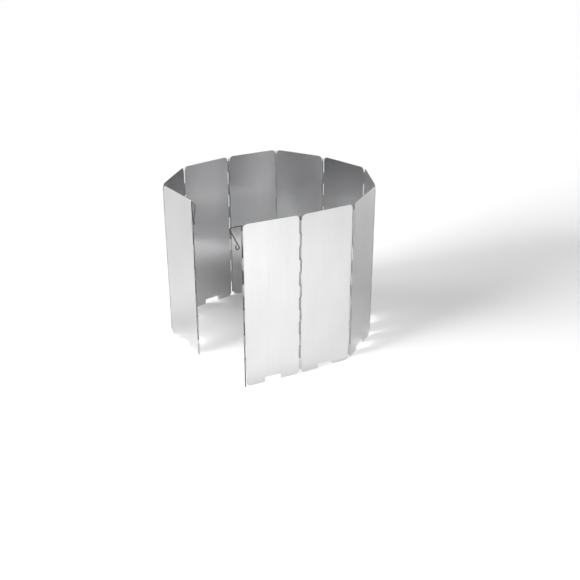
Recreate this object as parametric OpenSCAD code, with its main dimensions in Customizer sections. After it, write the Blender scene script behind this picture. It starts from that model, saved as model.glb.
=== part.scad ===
/* [Panels] */

// Plan distance between the two hinge lines of one panel, mm
panel_width = 84; // [60:1:110]
// Height of a panel, mm
panel_height = 240; // [160:1:320]
// Thickness of the aluminium sheet, mm
sheet_thickness = 0.5; // [0.4:0.05:0.8]
// Radius of a panel's four corners, mm
corner_radius = 6; // [3:0.5:9]

/* [Vent notch] */

// Width of the notch in the middle of a panel's lower edge, mm
vent_width = 24.5; // [14:0.5:34]
// Height of the notch, mm
vent_height = 7.5; // [5:0.5:14]
// Radius of the notch's upper corners, mm
vent_radius = 2; // [1:0.25:3]
// Radius where the notch runs out into the lower edge, mm
vent_lip_radius = 1.5; // [0.5:0.25:2.5]

/* [Hinges] */

// Diameter of the steel wire in the hinges, mm
pin_diameter = 1.5; // [1.2:0.1:2]
// Room round the wire in its knuckles, on the radius, mm
pin_play = 0.05; // [0.03:0.01:0.09]
// Knuckles along one hinge, both panels together
knuckle_count = 12; // [8:2:16]
// Room between two neighbouring knuckles, mm
knuckle_gap = 0.5; // [0.3:0.1:0.8]
// Room between a panel's edge and its neighbour's knuckles, mm
edge_gap = 0.7; // [0.3:0.1:1]
// Distance from a panel's upper or lower edge to its first knuckle, mm
hinge_margin = 7; // [6:0.5:12]
// Distance from the top of a hinge wire up to the upper edge, mm
pin_top_drop = 2.5; // [1.5:0.5:4]
// Chamfer on the ends of a hinge wire, mm
pin_chamfer = 0.25; // [0.1:0.05:0.4]

/* [Hook rods] */

// How far a hook rod's arm reaches out from its free edge, mm
hook_reach = 19; // [14:0.5:26]
// Height of the wire triangle below the arm, mm
hook_drop = 31; // [24:1:40]
// Distance of the arm's centre line below the upper edge, mm
arm_drop = 0.8; // [0.8:0.2:3]
// Distance from the rod to the triangle's lower corner, mm
hook_standoff = 3.2; // [3:0.1:4]
// Width of the small hook below the triangle, mm
hook_width = 6.3; // [5.5:0.1:8]
// Height of the small hook's stub, mm
hook_stub = 5.8; // [4:0.2:9]
// Radius of the bends in the wire, mm
wire_bend_radius = 1.8; // [1.3:0.1:2]
// Outward turn of the left rod's triangle from its panel's plane, degrees
left_hook_turn = 15; // [0:1:40]
// Outward turn of the right rod's triangle from its panel's plane, degrees
right_hook_turn = 8; // [0:1:40]

/* [Standing shape] */

// Plan direction of panel 5, degrees from +X
root_turn = -27; // [-40:1:-10]
// Inward bend at hinge 1, degrees
bend_1 = 50; // [40:1:55]
// Inward bend at hinge 2, degrees
bend_2 = 36; // [26:1:42]
// Inward bend at hinge 3, degrees
bend_3 = 12; // [2:1:18]
// Inward bend at hinge 4, degrees
bend_4 = 54; // [44:1:60]
// Inward bend at hinge 5, degrees
bend_5 = 17; // [7:1:23]
// Inward bend at hinge 6, degrees
bend_6 = 40; // [30:1:46]
// Inward bend at hinge 7, degrees
bend_7 = 32; // [22:1:38]
// Inward bend at hinge 8, degrees
bend_8 = 34; // [24:1:40]
// Inward bend at hinge 9, degrees
bend_9 = 5; // [0:1:11]

/* [Hidden] */

$fn = 48;
panel_count = 10;
hinge_count = panel_count - 1;
root_panel = 5;
bends = [bend_1, bend_2, bend_3, bend_4, bend_5, bend_6, bend_7, bend_8, bend_9];

// A knuckle is the sheet rolled once round the wire.
bore_radius = pin_diameter / 2 + pin_play;
knuckle_radius = bore_radius + sheet_thickness;
// The roll stands a hair proud of the sheet's flat side, as a rolled edge does.
roll_proud = sheet_thickness / 10;
axis_offset = knuckle_radius - sheet_thickness / 2 - roll_proud;
// Where a panel's sheet stops short of its neighbour's knuckles.
edge_cut = knuckle_radius + edge_gap;
zone_length = (panel_height - 2 * hinge_margin) / knuckle_count;
// How far a cut reaches past the face that it opens, and how far joined outlines overlap.
cut_over = 1;
outline_overlap = 1;

// Plan geometry. Panels run clockwise seen from above, with the outside on their left.
function total(list, count) = count < 1 ? 0 : list[count - 1] + total(list, count - 1);
function heading(k) = root_turn + total(bends, root_panel - 1) - total(bends, k - 1);
function turned(v, a) = [v[0] * cos(a) - v[1] * sin(a), v[0] * sin(a) + v[1] * cos(a)];

// Odd hinges have their wire on the inside of the sheet, even ones and both free edges on the outside.
function hinge_side(k) = k % 2 == 1 ? -1 : 1;
function axis_y(k) = hinge_side(k) * axis_offset;

// Hinge line k, from 0 at the left free edge to 10 at the right one, before centring.
function hinge_step(k) = turned([panel_width, axis_y(k) - axis_y(k - 1)], heading(k));
function raw_hinge(k) = k < 1 ? [0, 0] : raw_hinge(k - 1) + hinge_step(k);
function raw_base(k) = raw_hinge(k - 1) - turned([0, axis_y(k - 1)], heading(k));

// The triangles' tips can be the outermost points of the whole, so they count in the centring.
left_hook_direction = 180 - left_hook_turn;
right_hook_direction = right_hook_turn;
left_tip = raw_hinge(0) + turned([hook_reach, 0], heading(1) + left_hook_direction);
right_tip = raw_hinge(panel_count) + turned([hook_reach, 0], heading(panel_count) + right_hook_direction);
outline_points = concat(
    [for (k = [1 : panel_count]) raw_base(k)],
    [for (k = [1 : panel_count]) raw_base(k) + turned([panel_width, 0], heading(k))],
    [left_tip, right_tip]
);
outline_x = [for (p = outline_points) p[0]];
outline_y = [for (p = outline_points) p[1]];
centre = [(min(outline_x) + max(outline_x)) / 2, (min(outline_y) + max(outline_y)) / 2];

function base(k) = raw_base(k) - centre;
function hinge(k) = raw_hinge(k) - centre;

aluminium = [0.80, 0.81, 0.82];
steel = [0.52, 0.52, 0.54];

// The zones along an edge count from 0 at the bottom. A panel's start edge has knuckles
// on even zones and its end edge on odd ones, so neighbours interleave.
function zones(first) = [first : 2 : knuckle_count - 1];
function zone_z(i) = hinge_margin + i * zone_length + knuckle_gap / 2;
knuckle_length = zone_length - knuckle_gap;

// Flat blank between the two hinge gaps, with rounded corners.
module plate_outline() {
    width = panel_width - 2 * edge_cut;
    translate([edge_cut + corner_radius, 0])
        square([width - 2 * corner_radius, panel_height]);
    translate([edge_cut, corner_radius])
        square([width, panel_height - 2 * corner_radius]);
    for (x = [edge_cut + corner_radius, panel_width - edge_cut - corner_radius])
        for (z = [corner_radius, panel_height - corner_radius])
            translate([x, z]) circle(r = corner_radius);
}

// Notch in the lower edge that lets air in, with rounded upper corners and run-outs.
module vent_outline() {
    half = vent_width / 2;
    lip_x = half + (vent_lip_radius - outline_overlap) / 2;
    lip_z = (vent_lip_radius - cut_over) / 2;
    translate([-half, -cut_over])
        square([vent_width, vent_height - vent_radius + cut_over]);
    translate([vent_radius - half, -cut_over])
        square([vent_width - 2 * vent_radius, vent_height + cut_over]);
    for (side = [-1, 1]) {
        translate([side * (half - vent_radius), vent_height - vent_radius])
            circle(r = vent_radius);
        difference() {
            translate([side * lip_x, lip_z])
                square([vent_lip_radius + outline_overlap, vent_lip_radius + cut_over], center = true);
            translate([side * (half + vent_lip_radius), vent_lip_radius])
                circle(r = vent_lip_radius);
        }
    }
}

// Tabs that carry the sheet out to its own knuckles.
module tab_outline() {
    for (i = zones(0))
        translate([0, zone_z(i)])
            square([edge_cut + outline_overlap, knuckle_length]);
    for (i = zones(1))
        translate([panel_width - edge_cut - outline_overlap, zone_z(i)])
            square([edge_cut + outline_overlap, knuckle_length]);
}

module sheet() {
    translate([0, sheet_thickness / 2, 0])
        rotate([90, 0, 0])
            linear_extrude(height = sheet_thickness)
                difference() {
                    union() {
                        plate_outline();
                        tab_outline();
                    }
                    translate([panel_width / 2, 0]) vent_outline();
                }
}

module knuckles(x, y, first) {
    for (i = zones(first))
        translate([x, y, zone_z(i)])
            cylinder(r = knuckle_radius, h = knuckle_length);
}

module bore(x, y) {
    translate([x, y, hinge_margin - cut_over])
        cylinder(r = bore_radius, h = panel_height - 2 * (hinge_margin - cut_over));
}

// One panel in its own frame: start hinge at x = 0, outside towards +Y.
module panel(k) {
    color(aluminium)
        translate([base(k)[0], base(k)[1], 0])
            rotate([0, 0, heading(k)])
                difference() {
                    union() {
                        sheet();
                        knuckles(0, axis_y(k - 1), 0);
                        knuckles(panel_width, axis_y(k), 1);
                    }
                    bore(0, axis_y(k - 1));
                    bore(panel_width, axis_y(k));
                }
}

// Straight wire that two neighbouring panels turn on, with chamfered ends.
module hinge_pin(k) {
    radius = pin_diameter / 2;
    length = panel_height - pin_top_drop - hinge_margin;
    color(steel)
        translate([hinge(k)[0], hinge(k)[1], hinge_margin])
            rotate_extrude()
                polygon([
                    [0, 0],
                    [radius - pin_chamfer, 0],
                    [radius, pin_chamfer],
                    [radius, length - pin_chamfer],
                    [radius - pin_chamfer, length],
                    [0, length]
                ]);
}

// Bent wire along a path of corners in the XY plane, drawn as straight runs and round bends.
function run_angle(path, i) = atan2(path[i + 1][1] - path[i][1], path[i + 1][0] - path[i][0]);
function wrapped(a) = a > 180 ? a - 360 : a < -180 ? a + 360 : a;
function bend_turn(path, i) = wrapped(run_angle(path, i) - run_angle(path, i - 1));
function bend_setback(path, i) =
    i < 1 || i > len(path) - 2 ? 0 : wire_bend_radius * tan(abs(bend_turn(path, i)) / 2);

// A bend is a hair thicker than the straight runs, which reach a little way into it.
bend_swell = pin_diameter / 75;
run_overlap = pin_diameter / 15;

function run_reach(path, i) = bend_setback(path, i) > 0 ? run_overlap : 0;

module bent_wire(path) {
    for (i = [0 : len(path) - 2]) {
        angle = run_angle(path, i);
        first = bend_setback(path, i) - run_reach(path, i);
        last = bend_setback(path, i + 1) - run_reach(path, i + 1);
        translate(concat(path[i] + turned([first, 0], angle), 0))
            rotate([0, 0, angle])
                rotate([0, 90, 0])
                    cylinder(d = pin_diameter, h = norm(path[i + 1] - path[i]) - first - last);
    }
    for (i = [1 : len(path) - 2]) {
        angle = run_angle(path, i - 1);
        turn = bend_turn(path, i);
        side = sign(turn);
        bend_centre = path[i] + turned([-bend_setback(path, i), side * wire_bend_radius], angle);
        translate(concat(bend_centre, 0))
            rotate([0, 0, turn > 0 ? angle - 90 : angle + 90 + turn])
                rotate_extrude(angle = abs(turn))
                    translate([wire_bend_radius, 0])
                        circle(d = pin_diameter + bend_swell);
    }
}

// Rod through a free edge's knuckles, bent at the top into a triangle that ends in a small hook.
arm_height = panel_height - arm_drop;
hook_height = arm_height - hook_drop;
hook_path = [
    [0, 0],
    [0, arm_height],
    [hook_reach, arm_height],
    [hook_standoff, hook_height],
    [hook_standoff + hook_width, hook_height],
    [hook_standoff + hook_width, hook_height + hook_stub]
];

module hook_rod(at, direction) {
    color(steel)
        translate([at[0], at[1], 0])
            rotate([0, 0, direction])
                rotate([90, 0, 0])
                    bent_wire(hook_path);
}

module panel_1() { panel(1); }
module panel_2() { panel(2); }
module panel_3() { panel(3); }
module panel_4() { panel(4); }
module panel_5() { panel(5); }
module panel_6() { panel(6); }
module panel_7() { panel(7); }
module panel_8() { panel(8); }
module panel_9() { panel(9); }
module panel_10() { panel(10); }
module hinge_pin_1() { hinge_pin(1); }
module hinge_pin_2() { hinge_pin(2); }
module hinge_pin_3() { hinge_pin(3); }
module hinge_pin_4() { hinge_pin(4); }
module hinge_pin_5() { hinge_pin(5); }
module hinge_pin_6() { hinge_pin(6); }
module hinge_pin_7() { hinge_pin(7); }
module hinge_pin_8() { hinge_pin(8); }
module hinge_pin_9() { hinge_pin(9); }
module hook_rod_left() { hook_rod(hinge(0), heading(1) + left_hook_direction); }
module hook_rod_right() { hook_rod(hinge(panel_count), heading(panel_count) + right_hook_direction); }

panel_1();
panel_2();
panel_3();
panel_4();
panel_5();
panel_6();
panel_7();
panel_8();
panel_9();
panel_10();
hinge_pin_1();
hinge_pin_2();
hinge_pin_3();
hinge_pin_4();
hinge_pin_5();
hinge_pin_6();
hinge_pin_7();
hinge_pin_8();
hinge_pin_9();
hook_rod_left();
hook_rod_right();
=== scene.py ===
import math

import bpy
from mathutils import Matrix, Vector


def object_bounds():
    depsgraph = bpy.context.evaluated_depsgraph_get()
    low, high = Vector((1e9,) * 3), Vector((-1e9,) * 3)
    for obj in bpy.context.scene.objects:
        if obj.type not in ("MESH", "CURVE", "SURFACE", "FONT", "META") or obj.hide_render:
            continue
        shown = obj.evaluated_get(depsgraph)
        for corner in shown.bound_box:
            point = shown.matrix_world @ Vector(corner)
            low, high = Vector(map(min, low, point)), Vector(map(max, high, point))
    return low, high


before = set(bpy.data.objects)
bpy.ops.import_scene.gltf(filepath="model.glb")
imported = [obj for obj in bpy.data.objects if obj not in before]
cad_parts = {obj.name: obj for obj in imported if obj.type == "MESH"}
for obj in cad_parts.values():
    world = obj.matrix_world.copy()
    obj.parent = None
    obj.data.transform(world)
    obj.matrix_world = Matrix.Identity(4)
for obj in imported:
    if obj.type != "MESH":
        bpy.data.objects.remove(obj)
cad_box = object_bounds()
scene = bpy.context.scene

PANEL_COUNT = 10
HINGE_COUNT = PANEL_COUNT - 1
RING_MIDDLE = (Vector(cad_box[0]) + Vector(cad_box[1])) / 2

# Camera, in metres and degrees. The focal length is in pixels of a square picture.
CAMERA_PLACE = (0.0200, -1.2395, 0.6588)
CAMERA_PITCH_DOWN = 25.344
CAMERA_YAW_RIGHT = 0.468
CAMERA_NEAR = 0.01
CAMERA_FAR = 100
IMAGE_WIDTH = 580
FOCAL_PIXELS = 905.2
SENSOR_WIDTH = 36

# Patterns of the aluminium sheet, per metre: along the panel, through it and upright.
GRAIN_SCALE = (2400, 24, 24)
STREAK_SCALE = (260, 5, 5)
CLOUD_SCALE = 22
WAVE_SCALE = 9

# Look of the aluminium sheet. Heights are in metres.
STREAK_SHARE = 0.4
CLOUD_SHARE = 0.6
# Painted shade: the dark tone laid on the rolled edges and knuckles, where the seams are shaded.
SHEET_PAINTED_SHADE = (0.28, 0.28, 0.28)
SHEET_DARK = (0.59, 0.59, 0.595)
SHEET_LIGHT = (0.65, 0.65, 0.655)
SHEET_ANISOTROPY = 0.95
GRAIN_ROUGHNESS = (0.14, 0.18)
CLOUD_ROUGHNESS = (-0.015, 0.015)
WAVE_HEIGHT = 0.0003
GRAIN_HEIGHT = 0.000004

# Painted shade on the rolled edges and knuckles, where the seams are shaded: reach in from the outermost
# knuckle and fade, in metres, and drop in tone.
SEAM_SHADE_WIDTH = 0.0031
SEAM_SHADE_FADE = 0.0010
SEAM_SHADE_DROP = 0.5

# Patterns of the steel wire, per metre, and its look. The height is in metres.
DRAWN_SCALE = (6000, 6000, 60)
SPOT_SCALE = 180
DRAWN_SHARE = 0.5
SPOT_SHARE = 0.5
WIRE_DARK = (0.025, 0.025, 0.026)
WIRE_LIGHT = (0.07, 0.07, 0.072)
WIRE_ROUGHNESS = (0.25, 0.45)
DRAWN_HEIGHT = 0.00001

# Tones from 0 to 1 at which a material shows its painted seam shade, its dark and its light colour.
TONE_PAINTED_SHADE = 0.00
TONE_DARK = 0.25
TONE_LIGHT = 0.75

# Floor and near light. Lengths are in metres.
FLOOR_HALF = 12.0
FLOOR_GREY = 0.90
SOFTBOX_SIZE = 0.5

# Surroundings: a white ring above the horizon that fades to a dark sky. Heights are 1 straight up.
RING_GREY = 1.0
RING_TOP = 0.14
SKY_GREY = 0.04
SKY_START = 0.26


def make_camera():
    data = bpy.data.cameras.new("camera")
    data.sensor_width = SENSOR_WIDTH
    data.lens = FOCAL_PIXELS / IMAGE_WIDTH * SENSOR_WIDTH
    data.clip_start = CAMERA_NEAR
    data.clip_end = CAMERA_FAR
    camera = bpy.data.objects.new("camera", data)
    camera.location = CAMERA_PLACE
    camera.rotation_euler = (
        math.radians(90 - CAMERA_PITCH_DOWN),
        0,
        math.radians(-CAMERA_YAW_RIGHT),
    )
    scene.collection.objects.link(camera)
    scene.camera = camera


def grey(level):
    return (level, level, level, 1)


class Nodes:
    """Short ways to add and link the shader nodes of one material."""

    def __init__(self, name):
        self.material = bpy.data.materials.new(name)
        self.material.use_nodes = True
        self.tree = self.material.node_tree
        self.tree.nodes.clear()

    def add(self, kind, **settings):
        node = self.tree.nodes.new(kind)
        for key, value in settings.items():
            setattr(node, key, value)
        return node

    def link(self, start, end):
        self.tree.links.new(start, end)

    def place(self):
        return self.add("ShaderNodeTexCoord").outputs["Object"]

    def mapped(self, vector, turn=0.0, scale=(1, 1, 1), shift=(0, 0, 0)):
        node = self.add("ShaderNodeMapping")
        node.inputs["Location"].default_value = shift
        node.inputs["Rotation"].default_value = (0, 0, turn)
        node.inputs["Scale"].default_value = scale
        self.link(vector, node.inputs["Vector"])
        return node.outputs["Vector"]

    def noise(self, vector, scale=1.0, detail=3.0, roughness=0.5):
        node = self.add("ShaderNodeTexNoise")
        node.inputs["Scale"].default_value = scale
        node.inputs["Detail"].default_value = detail
        node.inputs["Roughness"].default_value = roughness
        self.link(vector, node.inputs["Vector"])
        return node.outputs["Fac"]

    def ranged(self, value, low, high, start=0.0, end=1.0):
        node = self.add("ShaderNodeMapRange")
        node.inputs["From Min"].default_value = start
        node.inputs["From Max"].default_value = end
        node.inputs["To Min"].default_value = low
        node.inputs["To Max"].default_value = high
        self.link(value, node.inputs["Value"])
        return node.outputs["Result"]

    def summed(self, first, second):
        node = self.add("ShaderNodeMath", operation="ADD")
        self.link(first, node.inputs[0])
        self.link(second, node.inputs[1])
        return node.outputs["Value"]

    def distance_along(self, vector):
        """Distance from the middle of the panel, along the panel."""
        split = self.add("ShaderNodeSeparateXYZ")
        self.link(vector, split.inputs["Vector"])
        size = self.add("ShaderNodeMath", operation="ABSOLUTE")
        self.link(split.outputs["X"], size.inputs[0])
        return size.outputs["Value"]

    def ramp(self, value, stops):
        node = self.add("ShaderNodeValToRGB")
        ramp = node.color_ramp
        for tone, colour in stops[2:]:
            ramp.elements.new(tone)
        for element, (tone, colour) in zip(ramp.elements, stops):
            element.position = tone
            element.color = (*colour, 1)
        self.link(value, node.inputs["Fac"])
        return node.outputs["Color"]

    def bump(self, height, distance, normal=None):
        node = self.add("ShaderNodeBump")
        node.inputs["Strength"].default_value = 1.0
        node.inputs["Distance"].default_value = distance
        self.link(height, node.inputs["Height"])
        if normal is not None:
            self.link(normal, node.inputs["Normal"])
        return node.outputs["Normal"]

    def metal(self, colour, roughness, normal):
        shader = self.add("ShaderNodeBsdfPrincipled")
        shader.inputs["Metallic"].default_value = 1.0
        self.link(colour, shader.inputs["Base Color"])
        self.link(roughness, shader.inputs["Roughness"])
        self.link(normal, shader.inputs["Normal"])
        return shader

    def finished(self, shader):
        out = self.add("ShaderNodeOutputMaterial")
        self.link(shader.outputs["BSDF"], out.inputs["Surface"])
        return self.material


def panel_layout(node):
    """Plan direction of a panel, and its middle and half its length along that direction.

    The direction has the outside of the ring on its left.
    """
    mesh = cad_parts[node].data
    face = max(mesh.polygons, key=lambda polygon: polygon.area)
    outward = face.normal.copy()
    if outward.dot(face.center - RING_MIDDLE) < 0:
        outward.negate()
    heading = math.atan2(-outward.x, outward.y)
    along = Vector((math.cos(heading), math.sin(heading), 0))
    reaches = [along.dot(vertex.co) for vertex in mesh.vertices]
    middle = (max(reaches) + min(reaches)) / 2
    half = (max(reaches) - min(reaches)) / 2
    return heading, middle, half


def aluminium_sheet(name, heading, middle, half):
    """Rolled aluminium: upright grain, faint cloudiness, a wavy sheet and painted shade on the rolled
    edges at the seams.
    """
    nodes = Nodes(name)
    flat = nodes.mapped(nodes.place(), turn=-heading, shift=(-middle, 0, 0))
    grain = nodes.noise(nodes.mapped(flat, scale=GRAIN_SCALE), roughness=0.6)
    streak = nodes.noise(nodes.mapped(flat, scale=STREAK_SCALE), roughness=0.55)
    cloud = nodes.noise(flat, CLOUD_SCALE, detail=4.0, roughness=0.55)
    wave = nodes.noise(flat, WAVE_SCALE, detail=1.0, roughness=0.4)

    seam_shade_start = half - SEAM_SHADE_WIDTH
    seam_shade_end = seam_shade_start + SEAM_SHADE_FADE
    # Painted shade: the sheet darkens towards its rolled edges and knuckles, where the seams are shaded.
    seam_shade = nodes.ranged(nodes.distance_along(flat), 0.0, -SEAM_SHADE_DROP, seam_shade_start, seam_shade_end)
    tone = nodes.summed(nodes.ranged(streak, 0.0, STREAK_SHARE), nodes.ranged(cloud, 0.0, CLOUD_SHARE))
    colour = nodes.ramp(nodes.summed(tone, seam_shade), [
        (TONE_PAINTED_SHADE, SHEET_PAINTED_SHADE),
        (TONE_DARK, SHEET_DARK),
        (TONE_LIGHT, SHEET_LIGHT),
    ])
    roughness = nodes.summed(nodes.ranged(grain, *GRAIN_ROUGHNESS), nodes.ranged(cloud, *CLOUD_ROUGHNESS))
    normal = nodes.bump(grain, GRAIN_HEIGHT, nodes.bump(wave, WAVE_HEIGHT))

    shader = nodes.metal(colour, roughness, normal)
    shader.inputs["Anisotropic"].default_value = SHEET_ANISOTROPY
    tangent = nodes.add("ShaderNodeTangent", direction_type="RADIAL", axis="Z")
    nodes.link(tangent.outputs["Tangent"], shader.inputs["Tangent"])
    return nodes.finished(shader)


def steel_wire(name):
    """Drawn steel wire: fine upright lines and dull spots."""
    nodes = Nodes(name)
    place = nodes.place()
    drawn = nodes.noise(nodes.mapped(place, scale=DRAWN_SCALE), roughness=0.6)
    spot = nodes.noise(place, SPOT_SCALE)
    tone = nodes.summed(nodes.ranged(drawn, 0.0, DRAWN_SHARE), nodes.ranged(spot, 0.0, SPOT_SHARE))
    colour = nodes.ramp(tone, [(TONE_DARK, WIRE_DARK), (TONE_LIGHT, WIRE_LIGHT)])
    roughness = nodes.ranged(spot, *WIRE_ROUGHNESS)
    normal = nodes.bump(drawn, DRAWN_HEIGHT)
    return nodes.finished(nodes.metal(colour, roughness, normal))


def pale_floor(name):
    nodes = Nodes(name)
    shader = nodes.add("ShaderNodeBsdfDiffuse")
    shader.inputs["Color"].default_value = grey(FLOOR_GREY)
    return nodes.finished(shader)


def dress(node, material):
    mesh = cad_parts[node].data
    mesh.materials.clear()
    mesh.materials.append(material)


def dress_nodes():
    for number in range(1, PANEL_COUNT + 1):
        node = f"panel_{number}"
        dress(node, aluminium_sheet(f"aluminium_{number}", *panel_layout(node)))
    wire = steel_wire("steel_wire")
    for number in range(1, HINGE_COUNT + 1):
        dress(f"hinge_pin_{number}", wire)
    for side in ("left", "right"):
        dress(f"hook_rod_{side}", wire)


def make_floor():
    corners = [
        (-FLOOR_HALF, -FLOOR_HALF, 0),
        (FLOOR_HALF, -FLOOR_HALF, 0),
        (FLOOR_HALF, FLOOR_HALF, 0),
        (-FLOOR_HALF, FLOOR_HALF, 0),
    ]
    mesh = bpy.data.meshes.new("floor")
    mesh.from_pydata(corners, [], [(0, 1, 2, 3)])
    mesh.materials.append(pale_floor("floor"))
    floor = bpy.data.objects.new("floor", mesh)
    scene.collection.objects.link(floor)


def around(azimuth, reach, height):
    """A place round the object. Azimuth 0 is in front of the object and 90 to its right."""
    turn = math.radians(azimuth)
    return Vector((math.sin(turn) * reach, -math.cos(turn) * reach, height))


def place_light(name, data, place):
    """Puts a light at a place and turns it to the foot of the object."""
    light = bpy.data.objects.new(name, data)
    light.location = place
    light.rotation_euler = (-place).to_track_quat("-Z", "Y").to_euler()
    light.visible_camera = False
    scene.collection.objects.link(light)


def soft_sun(name, azimuth, elevation, spread, strength):
    """A wide, even light from far away."""
    data = bpy.data.lights.new(name, "SUN")
    data.angle = math.radians(spread)
    data.energy = strength
    rise = math.radians(elevation)
    place_light(name, data, around(azimuth, math.cos(rise), math.sin(rise)))


def softbox(name, azimuth, reach, height, power):
    """A round soft light that stands near the object."""
    data = bpy.data.lights.new(name, "AREA")
    data.shape = "DISK"
    data.size = SOFTBOX_SIZE
    data.energy = power
    place_light(name, data, around(azimuth, reach, height))


def make_lights():
    soft_sun("left_key", azimuth=300, elevation=10, spread=30, strength=8.0)
    soft_sun("left_fill", azimuth=270, elevation=10, spread=30, strength=3.4)
    soft_sun("high_fill", azimuth=120, elevation=60, spread=28, strength=1.44)
    softbox("front_box", azimuth=14, reach=0.75, height=0.45, power=2.7)


def make_surroundings():
    world = bpy.data.worlds.new("studio")
    world.use_nodes = True
    tree = world.node_tree
    place = tree.nodes.new("ShaderNodeTexCoord")
    split = tree.nodes.new("ShaderNodeSeparateXYZ")
    ramp = tree.nodes.new("ShaderNodeValToRGB")
    tree.links.new(place.outputs["Generated"], split.inputs["Vector"])
    tree.links.new(split.outputs["Z"], ramp.inputs["Fac"])
    tree.links.new(ramp.outputs["Color"], tree.nodes["Background"].inputs["Color"])
    ring, sky = ramp.color_ramp.elements
    ring.position = RING_TOP
    ring.color = grey(RING_GREY)
    sky.position = SKY_START
    sky.color = grey(SKY_GREY)
    scene.world = world
    scene.view_settings.view_transform = "Standard"


make_camera()
dress_nodes()
make_floor()
make_lights()
make_surroundings()
